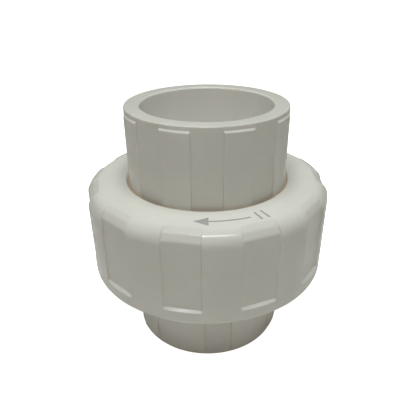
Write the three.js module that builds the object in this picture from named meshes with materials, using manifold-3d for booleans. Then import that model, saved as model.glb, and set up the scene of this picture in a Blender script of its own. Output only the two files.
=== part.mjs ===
// Pipe union for 50 mm solvent-cement pipe, in millimetres.
//
// +Z runs up the pipe axis, and the origin is the centre of the lower rim.
// Four pieces: a body with a lower pipe socket and a male thread, an O-ring in the groove of its
// top face, a tail piece with the upper pipe socket and a flange, and the nut whose lip holds the
// flange down on the O-ring. Angles are measured from -Y towards +X.

import * as THREE from 'three';
import { mergeVertices } from 'three/addons/utils/BufferGeometryUtils.js';
import Module from 'manifold-3d';

const wasm = await Module();
wasm.setup();

const FULL_TURN = 2 * Math.PI;

// Gap between pieces that touch on the real fitting.
const GAP = 0.3;

// How far a cutter or a buried end reaches past the surface that it cuts or joins.
const OVERSHOOT = 1;

// Both pipe sockets.
const SOCKET_MOUTH_RADIUS = 25.15;
const SOCKET_STOP_RADIUS = 25;
const SOCKET_DEPTH = 31;
const SOCKET_OUTER_RADIUS = 31;
const FLOW_RADIUS = 22.5;
const RIM_CHAMFER = 0.8;
const TOTAL_HEIGHT = 98;

// Raised grip pads around both barrels.
const PAD_COUNT = 9;
const PAD_HEIGHT = 0.65;
const PAD_WIDTH_ANGLE = THREE.MathUtils.degToRad(20);
const PAD_END_DISTANCE = 1.5;
const PAD_END_SLOPE = 0.75;
const TAIL_PAD_ANGLE = THREE.MathUtils.degToRad(20);
const BODY_PAD_ANGLE = THREE.MathUtils.degToRad(-12.5);

// Threaded head of the body.
const HEAD_BOTTOM = 33.3;
const HEAD_TOP = 54.9;
const HEAD_ROOT_ARC = 3.6;
const HEAD_CHAMFER = 1;

// Right-hand thread between the body and the nut.
const THREAD_PITCH = 5;
const THREAD_DEPTH = 2.5;
const THREAD_RADIAL_PLAY = 0.5;
const THREAD_FLANK_PLAY = 0.35;
const THREAD_FLANK_SLOPE = Math.tan(THREE.MathUtils.degToRad(15));
const THREAD_EMBED = 0.8;
const MALE_ROOT_RADIUS = 39.7;
const MALE_RIDGE_HEIGHT = 36.4;
const MALE_TURNS = 3.2;
const NUT_THREAD_START_TURN = 0.25;
const NUT_THREAD_TURNS = 4.1;
const RUNOUT_STEPS = 5;
const RUNOUT_DEPTH = THREAD_DEPTH + 0.4;

// Face seal.
const GROOVE_INNER_RADIUS = 29.8;
const GROOVE_OUTER_RADIUS = 35.2;
const GROOVE_DEPTH = 4.3;

// Flange of the tail piece.
const FLANGE_RADIUS = 39;
const FLANGE_THICKNESS = 6.8;

// Nut.
const NUT_RADIUS = 48.2;
const NUT_BOTTOM = 32.6;
const NUT_TOP = 68.9;
const NUT_OPENING_RADIUS = 32.15;
const NUT_SHOULDER_ARC = 5.8;
const NUT_EDGE = 0.8;
const NUT_THREAD_TOP = 57.5;
const NUT_THREAD_RELIEF = 1;
const PANEL_COUNT = 11;
const PANEL_ANGLE = THREE.MathUtils.degToRad(-10.6);
const PANEL_WIDTH = 13.7;
const PANEL_FLAT_DISTANCE = 47;
const PANEL_LEDGE_BOTTOM = 37.2;
const PANEL_LEDGE_TOP = 38.4;
const PANEL_BEVEL_TOP_RADIUS = 43;
const PANEL_BEVEL_BEND_RADIUS = 45.4;
const PANEL_BEVEL_BEND_HEIGHT = 67.45;
const PANEL_BEVEL_FOOT_HEIGHT = 65;

// Facets around each turned piece: a whole number for each pad, or for each panel. Pads and
// panels end inside a facet, never on its edge.
const BARREL_FACETS = 5 * PAD_COUNT;
const NUT_FACETS = 4 * PANEL_COUNT;
const NUT_FACET_ANGLE = PANEL_ANGLE + FULL_TURN / NUT_FACETS / 2;
const RING_FACETS = 44;

// A closed solid from a three.js geometry.
function solidFrom(geometry) {
  const bare = geometry.clone();
  bare.deleteAttribute('normal');
  bare.deleteAttribute('uv');
  const merged = mergeVertices(bare, 1e-4);
  const mesh = new wasm.Mesh({
    numProp: 3,
    vertProperties: new Float32Array(merged.attributes.position.array),
    triVerts: new Uint32Array(merged.index.array),
  });
  return new wasm.Manifold(mesh);
}

// A named three.js mesh from a solid.
function meshFrom(name, solid, material) {
  const result = solid.getMesh();
  const geometry = new THREE.BufferGeometry();
  geometry.setAttribute('position', new THREE.BufferAttribute(result.vertProperties, 3));
  geometry.setIndex(new THREE.BufferAttribute(result.triVerts, 1));
  geometry.computeVertexNormals();
  const mesh = new THREE.Mesh(geometry, material);
  mesh.name = name;
  return mesh;
}

// Points of an arc in the radius-height plane, both ends included.
function arc(centreRadius, centreHeight, radius, startDegrees, endDegrees, steps) {
  const points = [];
  for (let i = 0; i <= steps; i += 1) {
    const angle = THREE.MathUtils.degToRad(startDegrees + ((endDegrees - startDegrees) * i) / steps);
    points.push([centreRadius + radius * Math.cos(angle), centreHeight + radius * Math.sin(angle)]);
  }
  return points;
}

// A solid of revolution about Z. The outline of [radius, height] points runs outwards along the
// bottom, up the outside, inwards over the top and down the inside, and closes on itself.
function turned(outline, facets, firstFacetAngle) {
  const points = outline.map(([radius, height]) => new THREE.Vector2(radius, height));
  points.push(points[0].clone());
  const geometry = new THREE.LatheGeometry(points, facets, firstFacetAngle, FULL_TURN);
  geometry.rotateX(Math.PI / 2);
  return solidFrom(geometry);
}

// A right-hand helical ridge about Z, with corners in line with its wall's. Its section is drawn as
// [radius, height from the ridge's middle], and it sinks into the wall at both ends. The ridge's
// middle would pass -Y at the given height. The extrusion runs from the upper end to the lower.
function helicalRidge({ section, height, startTurn, turns, facets, firstFacetAngle, sinkDistance }) {
  const steps = Math.round(turns * facets);
  const firstStep = Math.round(startTurn * facets);
  const shape = new THREE.Shape(section.map(([radius, rise]) => new THREE.Vector2(radius, rise)));
  const geometry = new THREE.ExtrudeGeometry(shape, { depth: steps, steps, bevelEnabled: false });
  const position = geometry.attributes.position;
  for (let i = 0; i < position.count; i += 1) {
    const step = steps - Math.round(position.getZ(i));
    const fromEnd = Math.min(step, steps - step, RUNOUT_STEPS);
    const angle = firstFacetAngle + ((firstStep + step) * FULL_TURN) / facets;
    const radius = position.getX(i) + sinkDistance * (1 - fromEnd / RUNOUT_STEPS);
    const rise = height + (angle * THREAD_PITCH) / FULL_TURN + position.getY(i);
    position.setXYZ(i, radius * Math.sin(angle), -radius * Math.cos(angle), rise);
  }
  return solidFrom(geometry);
}

// Section of a thread ridge that stands on a wall of the given radius. The side is +1 for a ridge
// that points outwards and -1 for one that points inwards.
function ridgeSection(wallRadius, side) {
  const middleWidth = THREAD_PITCH / 2 - THREAD_FLANK_PLAY;
  const crestHalf = middleWidth / 2 - (THREAD_DEPTH / 2) * THREAD_FLANK_SLOPE;
  const baseHalf = middleWidth / 2 + (THREAD_DEPTH / 2 + THREAD_EMBED) * THREAD_FLANK_SLOPE;
  const base = wallRadius - side * THREAD_EMBED;
  const crest = wallRadius + side * THREAD_DEPTH;
  return [
    [base, -side * baseHalf],
    [crest, -side * crestHalf],
    [crest, side * crestHalf],
    [base, side * baseHalf],
  ];
}

// A ring of wedges about Z, each as wide as one pad.
function wedges(count, firstAngle, widthAngle, innerRadius, outerRadius, bottom, top) {
  let ring = null;
  for (let i = 0; i < count; i += 1) {
    const middle = firstAngle + (i * FULL_TURN) / count;
    const corners = [
      [innerRadius, middle - widthAngle / 2],
      [outerRadius, middle - widthAngle / 2],
      [outerRadius, middle + widthAngle / 2],
      [innerRadius, middle + widthAngle / 2],
    ];
    const points = corners.map(
      ([radius, angle]) => new THREE.Vector2(radius * Math.sin(angle), -radius * Math.cos(angle)),
    );
    const shape = new THREE.Shape(points);
    const geometry = new THREE.ExtrudeGeometry(shape, { depth: top - bottom, bevelEnabled: false });
    geometry.translate(0, 0, bottom);
    const wedge = solidFrom(geometry);
    ring = ring ? ring.add(wedge) : wedge;
  }
  return ring;
}

// Raised pads around a barrel, from the buried height to the sloped end near the rim.
function gripPads(buriedHeight, endHeight, firstAngle) {
  const inside = SOCKET_OUTER_RADIUS - OVERSHOOT;
  const outside = SOCKET_OUTER_RADIUS + PAD_HEIGHT;
  const towardsEnd = Math.sign(endHeight - buriedHeight);
  const slopeStart = endHeight - towardsEnd * PAD_END_SLOPE;
  const outline = [
    [inside, buriedHeight],
    [outside, buriedHeight],
    [outside, slopeStart],
    [SOCKET_OUTER_RADIUS, endHeight],
    [inside, endHeight],
  ];
  if (towardsEnd < 0) {
    outline.reverse();
  }
  const band = turned(outline, BARREL_FACETS, firstAngle);
  const inner = inside - OVERSHOOT;
  const outer = outside + OVERSHOOT;
  const bottom = Math.min(buriedHeight, endHeight) - OVERSHOOT;
  const top = Math.max(buriedHeight, endHeight) + OVERSHOOT;
  return band.intersect(wedges(PAD_COUNT, firstAngle, PAD_WIDTH_ANGLE, inner, outer, bottom, top));
}

// The body: lower pipe socket, collar, male thread and the face with the seal groove.
function unionBody() {
  const grooveFloor = HEAD_TOP - GROOVE_DEPTH;
  const arcHeight = HEAD_BOTTOM - HEAD_ROOT_ARC;
  const arcRadius = SOCKET_OUTER_RADIUS + HEAD_ROOT_ARC;
  const outline = [
    [SOCKET_MOUTH_RADIUS + RIM_CHAMFER, 0],
    [SOCKET_OUTER_RADIUS - RIM_CHAMFER, 0],
    [SOCKET_OUTER_RADIUS, RIM_CHAMFER],
    ...arc(arcRadius, arcHeight, HEAD_ROOT_ARC, 180, 90, 4),
    [MALE_ROOT_RADIUS - HEAD_CHAMFER, HEAD_BOTTOM],
    [MALE_ROOT_RADIUS, HEAD_BOTTOM + HEAD_CHAMFER],
    [MALE_ROOT_RADIUS, HEAD_TOP - RIM_CHAMFER],
    [MALE_ROOT_RADIUS - RIM_CHAMFER, HEAD_TOP],
    [GROOVE_OUTER_RADIUS, HEAD_TOP],
    [GROOVE_OUTER_RADIUS, grooveFloor],
    [GROOVE_INNER_RADIUS, grooveFloor],
    [GROOVE_INNER_RADIUS, HEAD_TOP],
    [FLOW_RADIUS + RIM_CHAMFER, HEAD_TOP],
    [FLOW_RADIUS, HEAD_TOP - RIM_CHAMFER],
    [FLOW_RADIUS, SOCKET_DEPTH],
    [SOCKET_STOP_RADIUS, SOCKET_DEPTH],
    [SOCKET_MOUTH_RADIUS, RIM_CHAMFER],
  ];
  const core = turned(outline, BARREL_FACETS, BODY_PAD_ANGLE);
  const pads = gripPads(HEAD_BOTTOM + OVERSHOOT, PAD_END_DISTANCE, BODY_PAD_ANGLE);
  const ridge = helicalRidge({
    section: ridgeSection(MALE_ROOT_RADIUS, 1),
    height: MALE_RIDGE_HEIGHT,
    startTurn: 0,
    turns: MALE_TURNS,
    facets: BARREL_FACETS,
    firstFacetAngle: BODY_PAD_ANGLE,
    sinkDistance: -RUNOUT_DEPTH,
  });
  return core.add(pads).add(ridge);
}

// The tail piece: upper pipe socket with a flange that sits on the seal.
function tailPiece() {
  const face = HEAD_TOP + GAP;
  const flangeTop = face + FLANGE_THICKNESS;
  const outline = [
    [FLOW_RADIUS + RIM_CHAMFER, face],
    [FLANGE_RADIUS - RIM_CHAMFER, face],
    [FLANGE_RADIUS, face + RIM_CHAMFER],
    [FLANGE_RADIUS, flangeTop - RIM_CHAMFER],
    [FLANGE_RADIUS - RIM_CHAMFER, flangeTop],
    [SOCKET_OUTER_RADIUS + RIM_CHAMFER, flangeTop],
    [SOCKET_OUTER_RADIUS, flangeTop + RIM_CHAMFER],
    [SOCKET_OUTER_RADIUS, TOTAL_HEIGHT - RIM_CHAMFER],
    [SOCKET_OUTER_RADIUS - RIM_CHAMFER, TOTAL_HEIGHT],
    [SOCKET_MOUTH_RADIUS + RIM_CHAMFER, TOTAL_HEIGHT],
    [SOCKET_MOUTH_RADIUS, TOTAL_HEIGHT - RIM_CHAMFER],
    [SOCKET_STOP_RADIUS, TOTAL_HEIGHT - SOCKET_DEPTH],
    [FLOW_RADIUS, TOTAL_HEIGHT - SOCKET_DEPTH],
    [FLOW_RADIUS, face + RIM_CHAMFER],
  ];
  const core = turned(outline, BARREL_FACETS, TAIL_PAD_ANGLE);
  const padEnd = TOTAL_HEIGHT - PAD_END_DISTANCE;
  return core.add(gripPads(flangeTop - OVERSHOOT, padEnd, TAIL_PAD_ANGLE));
}

// One cutter for a flat panel in the nut's side. It has a sloped ledge at its foot, and a bevel in
// two slopes at its top that runs into the nut's top face.
function panelCutter(angle) {
  const farRadius = NUT_RADIUS + OVERSHOOT;
  const ledgeSlope = (PANEL_LEDGE_TOP - PANEL_LEDGE_BOTTOM) / (NUT_RADIUS - PANEL_FLAT_DISTANCE);
  const outline = [
    [PANEL_FLAT_DISTANCE, PANEL_LEDGE_TOP],
    [farRadius, PANEL_LEDGE_TOP - ledgeSlope * (farRadius - PANEL_FLAT_DISTANCE)],
    [farRadius, NUT_TOP + OVERSHOOT],
    [PANEL_BEVEL_TOP_RADIUS, NUT_TOP + OVERSHOOT],
    [PANEL_BEVEL_TOP_RADIUS, NUT_TOP],
    [PANEL_BEVEL_BEND_RADIUS, PANEL_BEVEL_BEND_HEIGHT],
    [PANEL_FLAT_DISTANCE, PANEL_BEVEL_FOOT_HEIGHT],
  ];
  const shape = new THREE.Shape(outline.map(([radius, height]) => new THREE.Vector2(radius, height)));
  const geometry = new THREE.ExtrudeGeometry(shape, { depth: PANEL_WIDTH, bevelEnabled: false });
  geometry.translate(0, 0, -PANEL_WIDTH / 2);
  geometry.rotateX(Math.PI / 2);
  geometry.rotateZ(angle - Math.PI / 2);
  return solidFrom(geometry);
}

// The nut: lip, thread, rounded shoulder and panels.
function unionNut() {
  const lipUnderside = HEAD_TOP + FLANGE_THICKNESS + 2 * GAP;
  const crestRadius = MALE_ROOT_RADIUS + THREAD_RADIAL_PLAY;
  const rootRadius = crestRadius + THREAD_DEPTH;
  const shoulderRadius = NUT_RADIUS - NUT_SHOULDER_ARC;
  const outline = [
    [rootRadius + NUT_EDGE, NUT_BOTTOM],
    [NUT_RADIUS - NUT_EDGE, NUT_BOTTOM],
    [NUT_RADIUS, NUT_BOTTOM + NUT_EDGE],
    ...arc(shoulderRadius, NUT_TOP - NUT_SHOULDER_ARC, NUT_SHOULDER_ARC, 0, 90, 5),
    [NUT_OPENING_RADIUS + NUT_EDGE, NUT_TOP],
    [NUT_OPENING_RADIUS, NUT_TOP - NUT_EDGE],
    [NUT_OPENING_RADIUS, lipUnderside + NUT_EDGE],
    [NUT_OPENING_RADIUS + NUT_EDGE, lipUnderside],
    [crestRadius, lipUnderside],
    [crestRadius, NUT_THREAD_TOP + NUT_THREAD_RELIEF],
    [rootRadius, NUT_THREAD_TOP],
    [rootRadius, NUT_BOTTOM + NUT_EDGE],
  ];
  let nut = turned(outline, NUT_FACETS, NUT_FACET_ANGLE);
  for (let i = 0; i < PANEL_COUNT; i += 1) {
    nut = nut.subtract(panelCutter(PANEL_ANGLE + (i * FULL_TURN) / PANEL_COUNT));
  }
  const ridge = helicalRidge({
    section: ridgeSection(rootRadius, -1),
    height: MALE_RIDGE_HEIGHT - THREAD_PITCH / 2,
    startTurn: NUT_THREAD_START_TURN,
    turns: NUT_THREAD_TURNS,
    facets: NUT_FACETS,
    firstFacetAngle: NUT_FACET_ANGLE,
    sinkDistance: RUNOUT_DEPTH,
  });
  return nut.add(ridge);
}

// The O-ring, squeezed a little flat between the groove's floor and the tail piece's face.
function oRing() {
  const centreRadius = (GROOVE_INNER_RADIUS + GROOVE_OUTER_RADIUS) / 2;
  const halfWidth = (GROOVE_OUTER_RADIUS - GROOVE_INNER_RADIUS) / 2 - GAP;
  const halfHeight = (GROOVE_DEPTH - GAP) / 2;
  const centreHeight = HEAD_TOP - halfHeight;
  const sides = 10;
  const outline = [];
  for (let i = 0; i < sides; i += 1) {
    const angle = ((i + 0.5) * FULL_TURN) / sides;
    outline.push([centreRadius + halfWidth * Math.cos(angle), centreHeight + halfHeight * Math.sin(angle)]);
  }
  return turned(outline, RING_FACETS, 0);
}

function whitePlastic(tint) {
  return new THREE.MeshStandardMaterial({ color: tint, roughness: 0.38, metalness: 0 });
}

const bodyPlastic = whitePlastic(0xd9d6cd);
const tailPlastic = whitePlastic(0xdcd9d0);
const nutPlastic = whitePlastic(0xdddad2);
const sealRubber = new THREE.MeshStandardMaterial({ color: 0x1d1d1f, roughness: 0.7, metalness: 0 });

const union = new THREE.Group();
union.add(meshFrom('union_body', unionBody(), bodyPlastic));
union.add(meshFrom('o_ring', oRing(), sealRubber));
union.add(meshFrom('tail_piece', tailPiece(), tailPlastic));
union.add(meshFrom('union_nut', unionNut(), nutPlastic));

export default union;
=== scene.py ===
"""A white PVC pipe union on a pale floor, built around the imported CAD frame.

Lengths of the pieces are in millimetres, and become metres in make_object(), which makes their
meshes. Lengths in the materials and the stage are in metres. Angles about the pipe axis are
measured from -Y towards +X, as in the CAD part.
"""

import math

import bmesh
import bpy
import numpy as np
from mathutils import Matrix, Vector


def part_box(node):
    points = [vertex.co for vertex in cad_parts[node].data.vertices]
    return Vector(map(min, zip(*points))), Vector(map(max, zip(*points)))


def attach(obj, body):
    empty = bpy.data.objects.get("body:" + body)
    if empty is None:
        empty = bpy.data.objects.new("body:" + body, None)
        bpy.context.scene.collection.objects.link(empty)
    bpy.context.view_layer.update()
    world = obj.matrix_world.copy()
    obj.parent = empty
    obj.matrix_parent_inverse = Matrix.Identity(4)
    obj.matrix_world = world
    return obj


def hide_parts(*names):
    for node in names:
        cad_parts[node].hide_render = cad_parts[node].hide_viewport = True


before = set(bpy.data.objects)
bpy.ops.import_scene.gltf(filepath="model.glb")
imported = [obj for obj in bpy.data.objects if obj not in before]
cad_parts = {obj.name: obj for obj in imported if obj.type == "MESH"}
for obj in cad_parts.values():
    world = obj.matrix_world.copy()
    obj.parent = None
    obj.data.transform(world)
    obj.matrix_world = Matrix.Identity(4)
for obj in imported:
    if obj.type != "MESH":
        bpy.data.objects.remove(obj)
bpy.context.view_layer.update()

MM = 0.001
TURN = 2 * math.pi

# Heights and radii from the frame.
tail_low, tail_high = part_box("tail_piece")
nut_low, nut_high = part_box("union_nut")
body_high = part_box("union_body")[1]
seal_low, seal_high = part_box("o_ring")
TOTAL_HEIGHT = tail_high.z / MM
TAIL_FACE = tail_low.z / MM
FLANGE_RADIUS = -tail_low.y / MM
NUT_TOP = nut_high.z / MM
NUT_BOTTOM = nut_low.z / MM
HEAD_TOP = body_high.z / MM
SEAL_TOP = seal_high.z / MM
SEAL_BOTTOM = seal_low.z / MM

# Pipe sockets, as in the CAD part.
SOCKET_MOUTH_RADIUS = 25.15
SOCKET_STOP_RADIUS = 25.0
SOCKET_DEPTH = 31.0
SOCKET_OUTER_RADIUS = 31.0
FLOW_RADIUS = 22.5
RIM_ROUNDING = 0.75
TAIL_RIM_ROUNDING = 0.4
SMALL_ROUNDING = 0.35

# Raised grip pads on both barrels. The inset is from the body's collar.
PAD_COUNT = 9
PAD_HEIGHT = 0.65
PAD_HALF_ANGLE = math.radians(10)
PAD_WALL_ANGLE = math.radians(0.8)
PAD_END_DISTANCE = 1.5
PAD_END_SLOPE = 0.75
PAD_END_OVERRUN = 0.1
BODY_PAD_INSET = 0.5
TAIL_PAD_ANGLE = math.radians(20)
BODY_PAD_ANGLE = math.radians(-12.5)

# Threaded head, thread and seal groove.
HEAD_BOTTOM = 33.3
HEAD_ROOT_RADIUS = 3.6
MALE_ROOT_RADIUS = 39.7
THREAD_PITCH = 5.0
THREAD_DEPTH = 2.5
THREAD_RADIAL_PLAY = 0.5
THREAD_FLANK_PLAY = 0.35
THREAD_FLANK_SLOPE = math.tan(math.radians(15))
THREAD_ROUNDING = 0.3
THREAD_CORNER_LIFT = 0.3
THREAD_CORNER_REACH = 0.25
THREAD_RUNOUT = 0.11
MALE_RIDGE_HEIGHT = 36.4
MALE_TURNS = (-0.03, 3.17)
MALE_THREAD_INSETS = (1.2, 1.0)
NUT_TURNS = (0.23, 4.33)
NUT_THREAD_TOP = 57.5
NUT_THREAD_RELIEF = 1
NUT_THREAD_INSETS = (1.1, 0.5)
GROOVE_INNER_RADIUS = 29.8
GROOVE_OUTER_RADIUS = 35.2
GROOVE_DEPTH = 4.3
SEAL_HALF_WIDTH = 2.4
FLANGE_THICKNESS = 6.8
FLANGE_TOP = TAIL_FACE + FLANGE_THICKNESS

# Nut.
NUT_RADIUS = 48.2
NUT_OPENING_RADIUS = 32.15
NUT_SHOULDER_ROUNDING = 5.8
NUT_LIP_THICKNESS = 6.6
NUT_EDGE_ROUNDING = 0.8
PANEL_COUNT = 11
PANEL_ANGLE = math.radians(-10.6)
PANEL_HALF_ANGLE = math.radians(8.17)
PANEL_WALL_ANGLE = math.radians(0.4)
PANEL_FLAT_DISTANCE = 47.0
PANEL_LEDGE = (37.3, 38.3)
LEDGE_EDGE_SHARE = 0.15
PANEL_BEVEL_TOP_RADIUS = 43.0
PANEL_BEVEL_BEND = (45.4, 67.45)
PANEL_BEVEL_FOOT_HEIGHT = 65.0
PANEL_BEVEL_ROUNDINGS = (1.2, 2.2, 1.2)
PANEL_CLEARANCE = 5

# Fineness of the meshes. The rows and columns at a wall, a pad's end or a ledge are shares of its
# width. The weld distance and the shortest edge are in metres.
ARC_STEPS = 6
ARC_STEPS_PER_MM = 4
FACET_SPACING = 2.4
EDGE_MARGIN = 0.25
LONG_STRETCH = 4 * EDGE_MARGIN
EVEN_COLUMNS = 16
WALL_COLUMNS = (-0.75, -0.5, -0.3, -0.1, 0.1, 0.3, 0.5, 0.75)
PAD_END_ROWS = (1.3, 1.0, 0.8, 0.6, 0.4, 0.2, 0.0, -0.2)
LEDGE_ROWS = (-0.2, 0, 0.07, 0.15, 0.5, 0.85, 0.93, 1, 1.2)
SEAL_COLUMNS = 180
SEAL_ROWS = 36
ANGLE_DIGITS = 7
SAME_POINT = 1e-6
SAME_HEIGHT = 0.001
SAME_RADIUS = 0.01
WELD_DISTANCE = 2e-7
SHORTEST_EDGE = 1e-7

# White plastic. A noise is (scale, detail, roughness). A ramp is (from, to), and then the values
# that it gives at both ends if they aren't 0 and 1.
WHITE_LIGHT = (0.845, 0.835, 0.79, 1)
WHITE_DARK = (0.815, 0.805, 0.755, 1)
CLOUD_NOISE = (45.0, 4.0, 0.55)
CLOUD_SHARE = 0.8
SPECKLE_NOISE = (900.0, 2.0, 0.6)
SPECKLE_SHARE = 0.2
TONE_RAMP = (0.35, 0.65)
# Grime and painted shade: a warm colour mixed in, in patches, where corners are closed in.
SHADE_AND_DIRT_COLOUR = (0.72, 0.58, 0.42, 1)
SHADE_AND_DIRT_NOISE = (160.0, 3.0, 0.6)
SHADE_AND_DIRT_PATCHES = (0.3, 0.7, 0.35, 1.0)
SHADE_AND_DIRT_BY_OPENNESS = (0.9, 0.35, 0.0, 0.4)
OPENNESS_SAMPLES = 8
OPENNESS_DISTANCE = 2.2 * MM
# Painted light in the bore: a whiter colour and a faint painted glow. The same white also colours the
# painted glows.
PAINTED_LIGHT_WHITE = (0.99, 0.98, 0.94, 1)
EDGE_OF_PAINTED_BORE_LIGHT = (25.6 * MM, 25.0 * MM)
PAINTED_GLOW_IN_BORE = 0.024
# Painted glow in narrow gaps: faint and warm, where the surface is closed in.
PAINTED_GLOW_BY_OPENNESS = (0.4, 0.1)
PAINTED_GLOW_TINT_IN_GAPS = (1.0, 0.8, 0.64, 1)
PAINTED_GLOW_IN_GAPS = 0.08
GLOSS_NOISE = (120.0, 4.0, 0.6)
ROUGHNESS_RAMP = (0.3, 0.7, 0.13, 0.19)
RIPPLE_NOISE = (70.0, 1.0, 0.4)
SKIN_NOISE = (1400.0, 2.0, 0.5)
SKIN_SHARE = 0.05
RIPPLE_STRENGTH = 0.35
RIPPLE_DEPTH = 0.25 * MM
PLASTIC_IOR = 1.52
SUBSURFACE_WEIGHT = 0.15
SUBSURFACE_RADIUS = (1.0, 0.8, 0.6)
SUBSURFACE_SCALE = 3.0 * MM

# Painted highlights on the ledges under the nut's panels, and the arrow printed on its top.
HIGHLIGHT_BAND_ON_LEDGES = (37.3 * MM, 38.25 * MM)
HIGHLIGHT_BLUR_ON_LEDGES = 0.05 * MM
HIGHLIGHT_EDGE_ON_LEDGES = (48.15 * MM, 48.05 * MM)
PAINTED_LEDGE_HIGHLIGHT = (1.0, 0.99, 0.96, 1)
INK = (0.42, 0.425, 0.41, 1)
INK_NOISE = (1500.0, 2.0, 0.6)
INK_WEAR = (0.3, 0.5, 0.75, 1.0)
MARK_BLUR = 0.1 * MM
MARK_RADIUS = 39.4 * MM
MARK_HALF_HEIGHT = 2.7 * MM
MARK_STROKE = 0.85 * MM
MARK_TIP_ANGLE = math.radians(-7)
MARK_HEAD_ANGLE = math.radians(7.5)
MARK_SHAFT_END_ANGLE = math.radians(21.5)
MARK_STROKE_ANGLES = (math.radians(25.5), math.radians(29.5))

# Rubber.
RUBBER_DARK = (0.012, 0.012, 0.013, 1)
RUBBER_LIGHT = (0.035, 0.034, 0.033, 1)
BLOOM_NOISE = (300.0, 4.0, 0.6)
BLOOM_RAMP = (0.3, 0.75)
RUBBER_ROUGHNESS_RAMP = (0.3, 0.7, 0.45, 0.7)
GRAIN_NOISE = (2500.0, 3.0, 0.5)
GRAIN_STRENGTH = 0.3
GRAIN_DEPTH = 0.05 * MM

# Stage, in metres.
WHITE = (1, 1, 1, 1)
FLOOR_HALF_WIDTH = 12.0
FLOOR_COLOUR = (0.86, 0.85, 0.83, 1)
FLOOR_ROUGHNESS = 0.9
FLOOR_SPECULAR = 0.1
FLOOR_LIFT = 1.0
FLOOR_GLOW = 0.11
GLOW_EDGE = (90 * MM, 35 * MM)
AMBIENT_COLOUR = (1.0, 0.84, 0.6, 1)
AMBIENT_STRENGTH = 0.08
LIGHT_TARGET = (0, 0, 0.05)
LIGHTS = (
    {"name": "overhead", "place": (0.0, -0.08, 0.8), "size": 0.4, "power": 3.85,
     "colour": (0.95, 1.0, 0.98), "mirrored": False},
    {"name": "tube", "place": (0.0, -0.38, 0.82), "size": (0.5, 0.05), "power": 0.5,
     "colour": (1.0, 1.0, 1.0)},
    {"name": "glint", "place": (0.0, -0.38, 0.82), "size": (0.5, 0.03), "power": 1.5,
     "colour": (1.0, 1.0, 1.0), "diffused": False},
    {"name": "left_fill", "place": (-0.7, -0.15, 0.3), "size": 0.6, "power": 0.14,
     "colour": (1.0, 0.9, 0.95)},
)
CAMERA_PLACE = (0, -0.1611, 0.1387)
CAMERA_PITCH_DEGREES = 28.04
CAMERA_ROLL_DEGREES = -0.37
CAMERA_LENS = 37.22
CAMERA_SENSOR = 36.0
CAMERA_SHIFT = 0.0016
CAMERA_NEAR = 0.01


# ---------------------------------------------------------------------------- mesh building

def smooth_step(value, low, high):
    """0 below low, 1 above high, and a smooth ramp between."""
    share = np.clip((value - low) / (high - low), 0.0, 1.0)
    return share * share * (3 - 2 * share)


def column_angles(count, first_angle, half_angle, wall_angle):
    """Angles of the mesh's columns: even ones, and finer ones across each pad's or panel's walls."""
    period = TURN / count
    offsets = set()
    for side in (-1, 1):
        for share in WALL_COLUMNS:
            offsets.add(round(side * (half_angle + share * wall_angle), ANGLE_DIGITS))
    for i in range(EVEN_COLUMNS):
        offset = period * (i / EVEN_COLUMNS - 0.5)
        if abs(abs(offset) - half_angle) > wall_angle:
            offsets.add(round(offset, ANGLE_DIGITS))
    angles = [first_angle + k * period + offset for k in range(count) for offset in sorted(offsets)]
    return np.array(angles)


def distance_from_middle(angles, count, first_angle):
    """The unsigned angle from each column to the middle of the nearest pad or panel."""
    period = TURN / count
    return np.abs((angles - first_angle + period / 2) % period - period / 2)


def inside_walls(away, half_angle, wall_angle):
    """1 in a pad or panel and 0 outside it, from each column's distance to its middle."""
    return 1 - smooth_step(away, half_angle - wall_angle / 2, half_angle + wall_angle / 2)


def rounded_outline(corners):
    """Points along an open outline of (radius, height, rounding) corners, in the corners' order."""
    points = []
    last = len(corners) - 1
    for i, (radius, height, rounding) in enumerate(corners):
        corner = Vector((radius, height))
        if i in (0, last) or rounding == 0:
            points.append(corner)
            continue
        before = (Vector(corners[i - 1][:2]) - corner).normalized()
        after = (Vector(corners[i + 1][:2]) - corner).normalized()
        half = before.angle(after) / 2
        centre = corner + (before + after).normalized() * (rounding / math.sin(half))
        start = corner + before * (rounding / math.tan(half)) - centre
        end = corner + after * (rounding / math.tan(half)) - centre
        steps = max(ARC_STEPS, round(ARC_STEPS_PER_MM * rounding))
        for step in range(steps + 1):
            points.append(centre + start.slerp(end, step / steps) * rounding)
    outline = [points[0]]
    for point in points[1:]:
        stretch = point - outline[-1]
        length = stretch.length
        if length > LONG_STRETCH:
            count = max(1, math.ceil((length - 2 * EDGE_MARGIN) / FACET_SPACING))
            base = outline[-1].copy()
            for k in range(count + 1):
                along = EDGE_MARGIN + (length - 2 * EDGE_MARGIN) * k / count
                outline.append(base + stretch * (along / length))
        if length > SAME_POINT:
            outline.append(point)
    return np.array([[p.x, p.y] for p in outline])


def turned_wall(outline, angles, radius_at, closed=False):
    """Vertices and faces of an outline turned about Z. radius_at(radius, height, angles) gives each
    row's radii, so that pads and panels can change them."""
    rows = [(radius_at(radius, height, angles), height) for radius, height in outline]
    vertices = []
    for radii, height in rows:
        heights = np.full(len(angles), height)
        vertices.append(np.column_stack([radii * np.sin(angles), -radii * np.cos(angles), heights]))
    count = len(angles)
    pairs = [(j, j + 1) for j in range(len(rows) - 1)]
    if closed:
        pairs.append((len(rows) - 1, 0))
    faces = []
    for low, high in pairs:
        for i in range(count):
            after = (i + 1) % count
            faces.append((low * count + i, low * count + after, high * count + after, high * count + i))
    return np.vstack(vertices), faces


def plain_radius(radius, _height, angles):
    return np.full(len(angles), radius)


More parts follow.
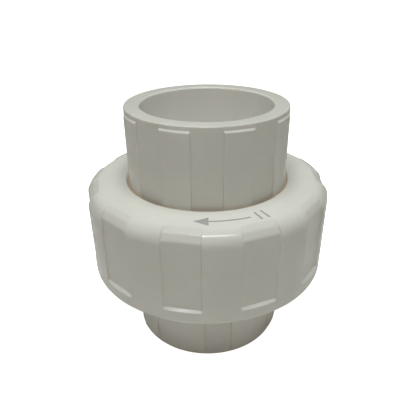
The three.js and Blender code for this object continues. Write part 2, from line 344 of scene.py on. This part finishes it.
def thread_section():
    """The ridge's section as (share of a pitch from its middle, share of its height) pairs."""
    middle = (THREAD_PITCH / 2 - THREAD_FLANK_PLAY) / 2
    crest = middle - THREAD_DEPTH / 2 * THREAD_FLANK_SLOPE
    base = middle + THREAD_DEPTH / 2 * THREAD_FLANK_SLOPE
    rounding = THREAD_ROUNDING
    lift = THREAD_CORNER_LIFT * rounding / THREAD_DEPTH
    flank_drop = rounding / THREAD_DEPTH
    half = [
        (0.0, 1.0),
        (crest - rounding, 1.0),
        (crest - THREAD_CORNER_REACH * rounding, 1.0 - lift),
        (crest + rounding * THREAD_FLANK_SLOPE, 1.0 - flank_drop),
        (middle, 0.5),
        (base - rounding * THREAD_FLANK_SLOPE, flank_drop),
        (base + THREAD_CORNER_REACH * rounding, lift),
        (base + rounding, 0.0),
    ]
    below = [(-offset, share) for offset, share in reversed(half[1:])]
    return [(offset / THREAD_PITCH, share) for offset, share in below + half]


def threaded_wall(angles, bottom, top, wall_radius, side, ridge_height, turns):
    """Vertices and faces of a threaded wall between two heights. Its rows follow the helix, and
    are clamped to the wall's two ends. side is +1 for a male thread and -1 for a female one."""
    section = thread_section()
    per_pitch = len(section)
    lowest = math.floor((bottom - ridge_height) / THREAD_PITCH) - 2
    highest = math.ceil((top - ridge_height) / THREAD_PITCH) + 1
    columns = len(angles)
    unwrapped = angles - angles[0]
    first_turn = angles[0] / TURN
    vertices = []
    for pitch_index in range(lowest, highest + 1):
        for share, height_share in section:
            turn = pitch_index + unwrapped / TURN + first_turn
            heights = ridge_height + THREAD_PITCH * (turn + share)
            rise = smooth_step(turn, turns[0], turns[0] + THREAD_RUNOUT)
            rise = rise * (1 - smooth_step(turn, turns[1] - THREAD_RUNOUT, turns[1]))
            inside = (heights > bottom) & (heights < top)
            radii = wall_radius + side * THREAD_DEPTH * height_share * rise * inside
            heights = np.clip(heights, bottom, top)
            vertices.append(np.column_stack([radii * np.sin(angles), -radii * np.cos(angles), heights]))
    faces = []
    rows = len(vertices)
    for row in range(rows - 1):
        for i in range(columns):
            if i + 1 < columns:
                low_after, high_after = row * columns + i + 1, (row + 1) * columns + i + 1
            elif row + per_pitch + 1 < rows:
                low_after, high_after = (row + per_pitch) * columns, (row + per_pitch + 1) * columns
            else:
                continue
            faces.append((row * columns + i, low_after, high_after, (row + 1) * columns + i))
    return np.vstack(vertices), faces


def make_object(name, walls):
    """One closed, smooth mesh object in metres from walls that share their edges."""
    bm = bmesh.new()
    for vertices, faces in walls:
        made = [bm.verts.new(Vector(v) * MM) for v in vertices.tolist()]
        for face in faces:
            corners = [made[k] for k in face]
            bm.faces.new(corners)
    bmesh.ops.remove_doubles(bm, verts=bm.verts, dist=WELD_DISTANCE)
    bmesh.ops.dissolve_degenerate(bm, dist=SHORTEST_EDGE, edges=bm.edges)
    bmesh.ops.recalc_face_normals(bm, faces=bm.faces)
    mesh = bpy.data.meshes.new(name)
    bm.to_mesh(mesh)
    open_edges = sum(1 for edge in bm.edges if len(edge.link_faces) != 2)
    print(f"{name}: {len(mesh.polygons)} faces, {open_edges} open edges")
    bm.free()
    for polygon in mesh.polygons:
        polygon.use_smooth = True
    mesh.validate()
    piece = bpy.data.objects.new(name, mesh)
    bpy.context.scene.collection.objects.link(piece)
    return piece


# ---------------------------------------------------------------------------- the four pieces

def padded_radius(first_angle, plain_end, buried_end):
    """A radius rule for a barrel with grip pads that run from its buried end to near its rim."""
    towards = math.copysign(1, plain_end - buried_end)
    pad_end = plain_end - towards * PAD_END_DISTANCE

    def radius_at(radius, height, angles):
        radii = np.full(len(angles), radius)
        past_buried = (height - buried_end) * towards
        if radius < SOCKET_OUTER_RADIUS - SAME_RADIUS or past_buried < 0:
            return radii
        before_end = (pad_end - height) * towards
        along = smooth_step(before_end, -PAD_END_OVERRUN, PAD_END_SLOPE)
        away = distance_from_middle(angles, PAD_COUNT, first_angle)
        across = inside_walls(away, PAD_HALF_ANGLE, PAD_WALL_ANGLE)
        return np.maximum(radii, SOCKET_OUTER_RADIUS + PAD_HEIGHT * along * across)

    return radius_at


def pad_end_rows(plain_end, buried_end):
    """Extra corners without rounding, where the pads' ends slope."""
    towards = math.copysign(1, plain_end - buried_end)
    pad_end = plain_end - towards * PAD_END_DISTANCE
    heights = [pad_end - towards * share * PAD_END_SLOPE for share in PAD_END_ROWS]
    return [(SOCKET_OUTER_RADIUS, height, 0) for height in heights]


def make_tail_piece():
    angles = column_angles(PAD_COUNT, TAIL_PAD_ANGLE, PAD_HALF_ANGLE, PAD_WALL_ANGLE)
    socket_stop = TOTAL_HEIGHT - SOCKET_DEPTH
    middle = (FLOW_RADIUS + FLANGE_RADIUS) / 2
    corners = [
        (middle, TAIL_FACE, 0),
        (FLANGE_RADIUS, TAIL_FACE, RIM_ROUNDING),
        (FLANGE_RADIUS, FLANGE_TOP, RIM_ROUNDING),
        (SOCKET_OUTER_RADIUS, FLANGE_TOP, RIM_ROUNDING),
        *pad_end_rows(TOTAL_HEIGHT, FLANGE_TOP),
        (SOCKET_OUTER_RADIUS, TOTAL_HEIGHT, TAIL_RIM_ROUNDING),
        (SOCKET_MOUTH_RADIUS, TOTAL_HEIGHT, RIM_ROUNDING),
        (SOCKET_STOP_RADIUS, socket_stop, SMALL_ROUNDING),
        (FLOW_RADIUS, socket_stop, SMALL_ROUNDING),
        (FLOW_RADIUS, TAIL_FACE, RIM_ROUNDING),
        (middle, TAIL_FACE, 0),
    ]
    rule = padded_radius(TAIL_PAD_ANGLE, TOTAL_HEIGHT, FLANGE_TOP)
    return make_object("tail_shell", [turned_wall(rounded_outline(corners), angles, rule)])


def make_union_body():
    angles = column_angles(PAD_COUNT, BODY_PAD_ANGLE, PAD_HALF_ANGLE, PAD_WALL_ANGLE)
    groove_floor = HEAD_TOP - GROOVE_DEPTH
    thread_bottom = HEAD_BOTTOM + MALE_THREAD_INSETS[0]
    thread_top = HEAD_TOP - MALE_THREAD_INSETS[1]
    corners = [
        (MALE_ROOT_RADIUS, thread_top, 0),
        (MALE_ROOT_RADIUS, HEAD_TOP, RIM_ROUNDING),
        (GROOVE_OUTER_RADIUS, HEAD_TOP, SMALL_ROUNDING),
        (GROOVE_OUTER_RADIUS, groove_floor, SMALL_ROUNDING),
        (GROOVE_INNER_RADIUS, groove_floor, SMALL_ROUNDING),
        (GROOVE_INNER_RADIUS, HEAD_TOP, SMALL_ROUNDING),
        (FLOW_RADIUS, HEAD_TOP, RIM_ROUNDING),
        (FLOW_RADIUS, SOCKET_DEPTH, SMALL_ROUNDING),
        (SOCKET_STOP_RADIUS, SOCKET_DEPTH, SMALL_ROUNDING),
        (SOCKET_MOUTH_RADIUS, 0, RIM_ROUNDING),
        (SOCKET_OUTER_RADIUS, 0, RIM_ROUNDING),
        *reversed(pad_end_rows(0, HEAD_BOTTOM)),
        (SOCKET_OUTER_RADIUS, HEAD_BOTTOM, HEAD_ROOT_RADIUS),
        (MALE_ROOT_RADIUS, HEAD_BOTTOM, RIM_ROUNDING),
        (MALE_ROOT_RADIUS, thread_bottom, 0),
    ]
    rule = padded_radius(BODY_PAD_ANGLE, 0, HEAD_BOTTOM - BODY_PAD_INSET)
    return make_object(
        "body_shell",
        [
            turned_wall(rounded_outline(corners), angles, rule),
            threaded_wall(
                angles, thread_bottom, thread_top, MALE_ROOT_RADIUS, 1, MALE_RIDGE_HEIGHT, MALE_TURNS
            ),
        ],
    )


def panel_outline():
    """Distances from the axis to a panel's face and their heights: two soft slopes, then the flat."""
    top, bend, foot = PANEL_BEVEL_ROUNDINGS
    outline = rounded_outline(
        [
            (NUT_OPENING_RADIUS, NUT_TOP, 0),
            (PANEL_BEVEL_TOP_RADIUS, NUT_TOP, top),
            (*PANEL_BEVEL_BEND, bend),
            (PANEL_FLAT_DISTANCE, PANEL_BEVEL_FOOT_HEIGHT, foot),
            (PANEL_FLAT_DISTANCE, NUT_BOTTOM, 0),
        ]
    )
    below_top = outline[:, 1] < NUT_TOP - SAME_HEIGHT
    return outline[below_top][::-1]


def ledge_rise(height):
    """0 below a panel's ledge and 1 above it: a straight slope with a little softness at each end."""
    low, high = PANEL_LEDGE
    share = np.clip((height - low) / (high - low), 0.0, 1.0)
    left = 1 - share
    soft = LEDGE_EDGE_SHARE
    if share < soft:
        return share * share / (2 * soft * (1 - soft))
    if left < soft:
        return 1 - left * left / (2 * soft * (1 - soft))
    return (share - soft / 2) / (1 - soft)


PANEL_OUTLINE = panel_outline()


def panelled_radius(radius, height, angles):
    """The nut's outside: each panel is a flat cut into the round wall, above a sloped ledge."""
    radii = np.full(len(angles), radius)
    if radius < NUT_OPENING_RADIUS + PANEL_CLEARANCE or height < PANEL_LEDGE[0]:
        return radii
    away = distance_from_middle(angles, PANEL_COUNT, PANEL_ANGLE)
    distances, heights = PANEL_OUTLINE.T
    flat = np.minimum(radii, np.interp(height, heights, distances) / np.cos(away))
    across = inside_walls(away, PANEL_HALF_ANGLE, PANEL_WALL_ANGLE)
    along = ledge_rise(height)
    return radii + (flat - radii) * across * along


def make_union_nut():
    angles = column_angles(PANEL_COUNT, PANEL_ANGLE, PANEL_HALF_ANGLE, PANEL_WALL_ANGLE)
    lip_underside = NUT_TOP - NUT_LIP_THICKNESS
    crest_radius = MALE_ROOT_RADIUS + THREAD_RADIAL_PLAY
    root_radius = crest_radius + THREAD_DEPTH
    thread_bottom = NUT_BOTTOM + NUT_THREAD_INSETS[0]
    thread_top = NUT_THREAD_TOP - NUT_THREAD_INSETS[1]
    ledge_low, ledge_high = PANEL_LEDGE
    ledge_heights = [ledge_low + (ledge_high - ledge_low) * share for share in LEDGE_ROWS]
    corners = [
        (root_radius, thread_bottom, 0),
        (root_radius, NUT_BOTTOM, NUT_EDGE_ROUNDING),
        (NUT_RADIUS, NUT_BOTTOM, NUT_EDGE_ROUNDING),
        *[(NUT_RADIUS, height, 0) for height in ledge_heights],
        (NUT_RADIUS, NUT_TOP, NUT_SHOULDER_ROUNDING),
        (NUT_OPENING_RADIUS, NUT_TOP, NUT_EDGE_ROUNDING),
        (NUT_OPENING_RADIUS, lip_underside, NUT_EDGE_ROUNDING),
        (crest_radius, lip_underside, SMALL_ROUNDING),
        (crest_radius, NUT_THREAD_TOP + NUT_THREAD_RELIEF, SMALL_ROUNDING),
        (root_radius, NUT_THREAD_TOP, SMALL_ROUNDING),
        (root_radius, thread_top, 0),
    ]
    return make_object(
        "nut_shell",
        [
            turned_wall(rounded_outline(corners), angles, panelled_radius),
            threaded_wall(
                angles,
                thread_bottom,
                thread_top,
                root_radius,
                -1,
                MALE_RIDGE_HEIGHT - THREAD_PITCH / 2,
                NUT_TURNS,
            ),
        ],
    )


def make_seal():
    angles = np.linspace(0, TURN, SEAL_COLUMNS, endpoint=False)
    centre_radius = (GROOVE_INNER_RADIUS + GROOVE_OUTER_RADIUS) / 2
    half_height = (SEAL_TOP - SEAL_BOTTOM) / 2
    around = np.linspace(0, TURN, SEAL_ROWS, endpoint=False)
    outline = np.column_stack(
        [
            centre_radius + SEAL_HALF_WIDTH * np.cos(around),
            (SEAL_TOP + SEAL_BOTTOM) / 2 + half_height * np.sin(around),
        ]
    )
    return make_object("seal_ring", [turned_wall(outline, angles, plain_radius, closed=True)])


# ---------------------------------------------------------------------------- materials

class Nodes:
    """Short calls for making and linking shader nodes."""

    def __init__(self, name):
        self.material = bpy.data.materials.new(name)
        self.material.use_nodes = True
        self.tree = self.material.node_tree
        self.shader = self.tree.nodes["Principled BSDF"]

    def node(self, kind, **settings):
        made = self.tree.nodes.new(kind)
        for name, value in settings.items():
            setattr(made, name, value)
        return made

    def link(self, output, socket):
        self.tree.links.new(output, socket)

    def feed(self, socket, value):
        if isinstance(value, bpy.types.NodeSocket):
            self.link(value, socket)
        else:
            socket.default_value = value

    def math(self, operation, first, second=0.0):
        made = self.node("ShaderNodeMath", operation=operation)
        self.feed(made.inputs[0], first)
        self.feed(made.inputs[1], second)
        return made.outputs[0]

    def ramp(self, value, low, high, to_low=0.0, to_high=1.0):
        made = self.node("ShaderNodeMapRange", interpolation_type="SMOOTHSTEP")
        self.feed(made.inputs["Value"], value)
        self.feed(made.inputs["From Min"], low)
        self.feed(made.inputs["From Max"], high)
        self.feed(made.inputs["To Min"], to_low)
        self.feed(made.inputs["To Max"], to_high)
        return made.outputs["Result"]

    def noise(self, coordinates, scale, detail, roughness):
        made = self.node("ShaderNodeTexNoise")
        self.link(coordinates, made.inputs["Vector"])
        made.inputs["Scale"].default_value = scale
        made.inputs["Detail"].default_value = detail
        made.inputs["Roughness"].default_value = roughness
        return made.outputs["Fac"]

    def polar(self, coordinates):
        """Distance from the Z axis, and the angle from -Y towards +X."""
        split = self.node("ShaderNodeSeparateXYZ")
        self.link(coordinates, split.inputs["Vector"])
        x, y = split.outputs["X"], split.outputs["Y"]
        squares = self.math("ADD", self.math("MULTIPLY", x, x), self.math("MULTIPLY", y, y))
        angle = self.math("ARCTAN2", x, self.math("MULTIPLY", y, -1.0))
        return self.math("SQRT", squares), angle

    def band(self, value, low, high, blur):
        """1 between low and high, and 0 outside."""
        return self.math("MULTIPLY", self.ramp(value, low - blur, low + blur),
                         self.ramp(value, high + blur, high - blur))

    def bump(self, height, strength, distance):
        """Bends the shader's normal by a height."""
        made = self.node("ShaderNodeBump")
        made.inputs["Strength"].default_value = strength
        made.inputs["Distance"].default_value = distance
        self.link(height, made.inputs["Height"])
        self.link(made.outputs["Normal"], self.shader.inputs["Normal"])

    def mix(self, factor, first, second):
        made = self.node("ShaderNodeMix", data_type="RGBA")
        self.feed(made.inputs["Factor"], factor)
        self.feed(made.inputs["A"], first)
        self.feed(made.inputs["B"], second)
        return made.outputs["Result"]


def arrow_mark(n, radius, angle, place):
    """A printed arrow around the nut's top face, with two strokes behind it and slightly worn ink."""
    blur = MARK_BLUR
    turn_blur = blur / MARK_RADIUS
    head = n.math("SUBTRACT", angle, MARK_TIP_ANGLE)
    half_height = n.math("MULTIPLY", head, MARK_HALF_HEIGHT / MARK_HEAD_ANGLE)
    off_centre = n.math("ABSOLUTE", n.math("SUBTRACT", radius, MARK_RADIUS))
    inside = n.ramp(n.math("SUBTRACT", half_height, off_centre), -blur, blur)
    head = n.math("MULTIPLY", inside, n.ramp(head, MARK_HEAD_ANGLE + turn_blur, MARK_HEAD_ANGLE - turn_blur))
    start, end = MARK_TIP_ANGLE + MARK_HEAD_ANGLE, MARK_SHAFT_END_ANGLE
    shaft = n.math("MULTIPLY", n.ramp(off_centre, MARK_STROKE / 2 + blur, MARK_STROKE / 2 - blur),
                   n.band(angle, start, end, turn_blur))
    printed = n.math("MAXIMUM", head, shaft)
    tall = n.ramp(off_centre, MARK_HALF_HEIGHT + blur, MARK_HALF_HEIGHT - blur)
    half_turn = MARK_STROKE / MARK_RADIUS / 2
    for middle in MARK_STROKE_ANGLES:
        stroke = n.math("MULTIPLY", tall, n.band(angle, middle - half_turn, middle + half_turn, turn_blur))
        printed = n.math("MAXIMUM", printed, stroke)
    worn = n.ramp(n.noise(place, *INK_NOISE), *INK_WEAR)
    return n.math("MULTIPLY", printed, worn)


def nut_details(n, colour, coordinates, radius, angle, place):
    """The nut's colours: painted highlights on the ledges, and the printed arrow."""
    split = n.node("ShaderNodeSeparateXYZ")
    n.link(coordinates, split.inputs["Vector"])
    # Painted highlight: the ledges under the panels are painted whiter.
    on_ledge_highlight = n.band(split.outputs["Z"], *HIGHLIGHT_BAND_ON_LEDGES, HIGHLIGHT_BLUR_ON_LEDGES)
    colour = n.mix(n.math("MULTIPLY", on_ledge_highlight, n.ramp(radius, *HIGHLIGHT_EDGE_ON_LEDGES)), colour, PAINTED_LEDGE_HIGHLIGHT)
    return n.mix(arrow_mark(n, radius, angle, place), colour, INK)


def pvc_material(name, offset, painted_glow_in_bore=0.0, details=None):
    """White moulded PVC: cloudy colour, grime and painted shade in the corners, uneven gloss and faint
    ripples. Painted light: the bore is painted whiter than the outside and can have a faint painted glow,
    and narrow gaps get a faint, warm painted glow."""
    n = Nodes(name)
    coordinates = n.node("ShaderNodeTexCoord").outputs["Object"]
    radius, angle = n.polar(coordinates)
    shifted = n.node("ShaderNodeMapping")
    shifted.inputs["Location"].default_value = offset
    n.link(coordinates, shifted.inputs["Vector"])
    place = shifted.outputs["Vector"]
    clouds = n.math("MULTIPLY", n.noise(place, *CLOUD_NOISE), CLOUD_SHARE)
    speckle = n.math("MULTIPLY", n.noise(place, *SPECKLE_NOISE), SPECKLE_SHARE)
    tone = n.math("ADD", clouds, speckle)
    colour = n.mix(n.ramp(tone, *TONE_RAMP), WHITE_DARK, WHITE_LIGHT)
    corners = n.node("ShaderNodeAmbientOcclusion", samples=OPENNESS_SAMPLES)
    corners.inputs["Distance"].default_value = OPENNESS_DISTANCE
    openness = corners.outputs["AO"]
    # Grime and painted shade: the warm colour is mixed in, in patches, where the surface is closed in.
    patches = n.ramp(n.noise(place, *SHADE_AND_DIRT_NOISE), *SHADE_AND_DIRT_PATCHES)
    shade_and_grime = n.math("MULTIPLY", n.ramp(openness, *SHADE_AND_DIRT_BY_OPENNESS), patches)
    colour = n.mix(shade_and_grime, colour, SHADE_AND_DIRT_COLOUR)
    # Painted light: the bore is painted whiter than the outside.
    painted_bore_light = n.ramp(radius, *EDGE_OF_PAINTED_BORE_LIGHT)
    colour = n.mix(painted_bore_light, colour, PAINTED_LIGHT_WHITE)
    # Painted glow: narrow gaps glow faintly and warmly.
    painted_gap_light = n.ramp(openness, *PAINTED_GLOW_BY_OPENNESS)
    n.link(n.mix(painted_gap_light, PAINTED_LIGHT_WHITE, PAINTED_GLOW_TINT_IN_GAPS), n.shader.inputs["Emission Color"])
    # Painted glow in the bore and in narrow gaps, as emission.
    glow = n.math("MAXIMUM", n.math("MULTIPLY", painted_bore_light, painted_glow_in_bore), n.math("MULTIPLY", painted_gap_light, PAINTED_GLOW_IN_GAPS))
    n.link(glow, n.shader.inputs["Emission Strength"])
    if details:
        colour = details(n, colour, coordinates, radius, angle, place)
    n.link(colour, n.shader.inputs["Base Color"])
    n.link(n.ramp(n.noise(place, *GLOSS_NOISE), *ROUGHNESS_RAMP), n.shader.inputs["Roughness"])
    skin = n.math("MULTIPLY", n.noise(place, *SKIN_NOISE), SKIN_SHARE)
    n.bump(n.math("ADD", n.noise(place, *RIPPLE_NOISE), skin), RIPPLE_STRENGTH, RIPPLE_DEPTH)
    n.shader.inputs["IOR"].default_value = PLASTIC_IOR
    n.shader.inputs["Subsurface Weight"].default_value = SUBSURFACE_WEIGHT
    n.shader.inputs["Subsurface Radius"].default_value = SUBSURFACE_RADIUS
    n.shader.inputs["Subsurface Scale"].default_value = SUBSURFACE_SCALE
    return n.material


def rubber_material():
    """Black rubber with a little bloom."""
    n = Nodes("seal_rubber")
    coordinates = n.node("ShaderNodeTexCoord").outputs["Object"]
    bloom = n.noise(coordinates, *BLOOM_NOISE)
    n.link(n.mix(n.ramp(bloom, *BLOOM_RAMP), RUBBER_DARK, RUBBER_LIGHT), n.shader.inputs["Base Color"])
    n.link(n.ramp(bloom, *RUBBER_ROUGHNESS_RAMP), n.shader.inputs["Roughness"])
    n.bump(n.noise(coordinates, *GRAIN_NOISE), GRAIN_STRENGTH, GRAIN_DEPTH)
    return n.material


# ---------------------------------------------------------------------------- stage

def make_floor():
    """A plain pale floor that glows a little near the object. For camera rays all of it is lifted to
    the white of the studio."""
    mesh = bpy.data.meshes.new("floor")
    half = FLOOR_HALF_WIDTH
    corners = [(-half, -half, 0), (half, -half, 0), (half, half, 0), (-half, half, 0)]
    mesh.from_pydata(corners, [], [(0, 1, 2, 3)])
    floor = bpy.data.objects.new("floor", mesh)
    bpy.context.scene.collection.objects.link(floor)
    n = Nodes("floor")
    n.shader.inputs["Base Color"].default_value = FLOOR_COLOUR
    n.shader.inputs["Roughness"].default_value = FLOOR_ROUGHNESS
    n.shader.inputs["Specular IOR Level"].default_value = FLOOR_SPECULAR
    n.shader.inputs["Emission Color"].default_value = WHITE
    radius, _angle = n.polar(n.node("ShaderNodeTexCoord").outputs["Object"])
    glow = n.ramp(radius, *GLOW_EDGE, 0.0, FLOOR_GLOW)
    seen = n.node("ShaderNodeLightPath").outputs["Is Camera Ray"]
    n.link(n.ramp(seen, 0.0, 1.0, glow, FLOOR_LIFT), n.shader.inputs["Emission Strength"])
    floor.data.materials.append(n.material)


def make_world():
    """Soft, slightly warm light from all round, with a white backdrop behind the object."""
    world = bpy.data.worlds.new("studio")
    bpy.context.scene.world = world
    world.use_nodes = True
    tree = world.node_tree
    ambient = tree.nodes["Background"]
    ambient.inputs["Color"].default_value = AMBIENT_COLOUR
    ambient.inputs["Strength"].default_value = AMBIENT_STRENGTH
    backdrop = tree.nodes.new("ShaderNodeBackground")
    backdrop.inputs["Color"].default_value = WHITE
    seen = tree.nodes.new("ShaderNodeLightPath")
    chosen = tree.nodes.new("ShaderNodeMixShader")
    tree.links.new(seen.outputs["Is Camera Ray"], chosen.inputs["Fac"])
    tree.links.new(ambient.outputs["Background"], chosen.inputs[1])
    tree.links.new(backdrop.outputs["Background"], chosen.inputs[2])
    tree.links.new(chosen.outputs["Shader"], tree.nodes["World Output"].inputs["Surface"])


def area_light(name, place, size, power, colour, mirrored=True, diffused=True):
    """An area light that faces the object: a disc, or a bar when the size is a pair. It can be left
    out of reflections, or out of diffuse light."""
    light = bpy.data.lights.new(name, "AREA")
    if isinstance(size, tuple):
        light.shape = "RECTANGLE"
        light.size, light.size_y = size
    else:
        light.shape = "DISK"
        light.size = size
    light.energy = power
    light.color = colour
    lamp = bpy.data.objects.new(name, light)
    bpy.context.scene.collection.objects.link(lamp)
    lamp.location = place
    lamp.visible_glossy = mirrored
    lamp.visible_diffuse = diffused
    lamp.rotation_euler = (Vector(LIGHT_TARGET) - Vector(place)).to_track_quat("-Z", "Y").to_euler()


def make_camera():
    data = bpy.data.cameras.new("camera")
    data.lens = CAMERA_LENS
    data.sensor_width = CAMERA_SENSOR
    data.shift_x = CAMERA_SHIFT
    data.clip_start = CAMERA_NEAR
    camera = bpy.data.objects.new("camera", data)
    bpy.context.scene.collection.objects.link(camera)
    camera.location = CAMERA_PLACE
    tilt = Matrix.Rotation(math.radians(90 - CAMERA_PITCH_DEGREES), 3, "X")
    roll = Matrix.Rotation(math.radians(CAMERA_ROLL_DEGREES), 3, "Z")
    camera.rotation_euler = (tilt @ roll).to_euler()
    bpy.context.scene.camera = camera


def dress(piece, body, node, material):
    """Gives a piece its material, and says which body it rides and which CAD node it replaces."""
    piece.data.materials.append(material)
    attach(piece, body)
    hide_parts(node)


make_camera()
make_world()
make_floor()
for light in LIGHTS:
    area_light(**light)

# The tail's bore gets a faint painted glow.
dress(make_tail_piece(), "tail", "tail_piece",
      pvc_material("tail_plastic", offset=(0.3, 0.1, 0.0), painted_glow_in_bore=PAINTED_GLOW_IN_BORE))
dress(make_union_body(), "threaded_half", "union_body",
      pvc_material("body_plastic", offset=(0.0, 0.7, 0.2)))
dress(make_union_nut(), "nut", "union_nut",
      pvc_material("nut_plastic", offset=(0.9, 0.0, 0.5), details=nut_details))
dress(make_seal(), "threaded_half", "o_ring", rubber_material())

bpy.context.scene.view_settings.view_transform = "Standard"
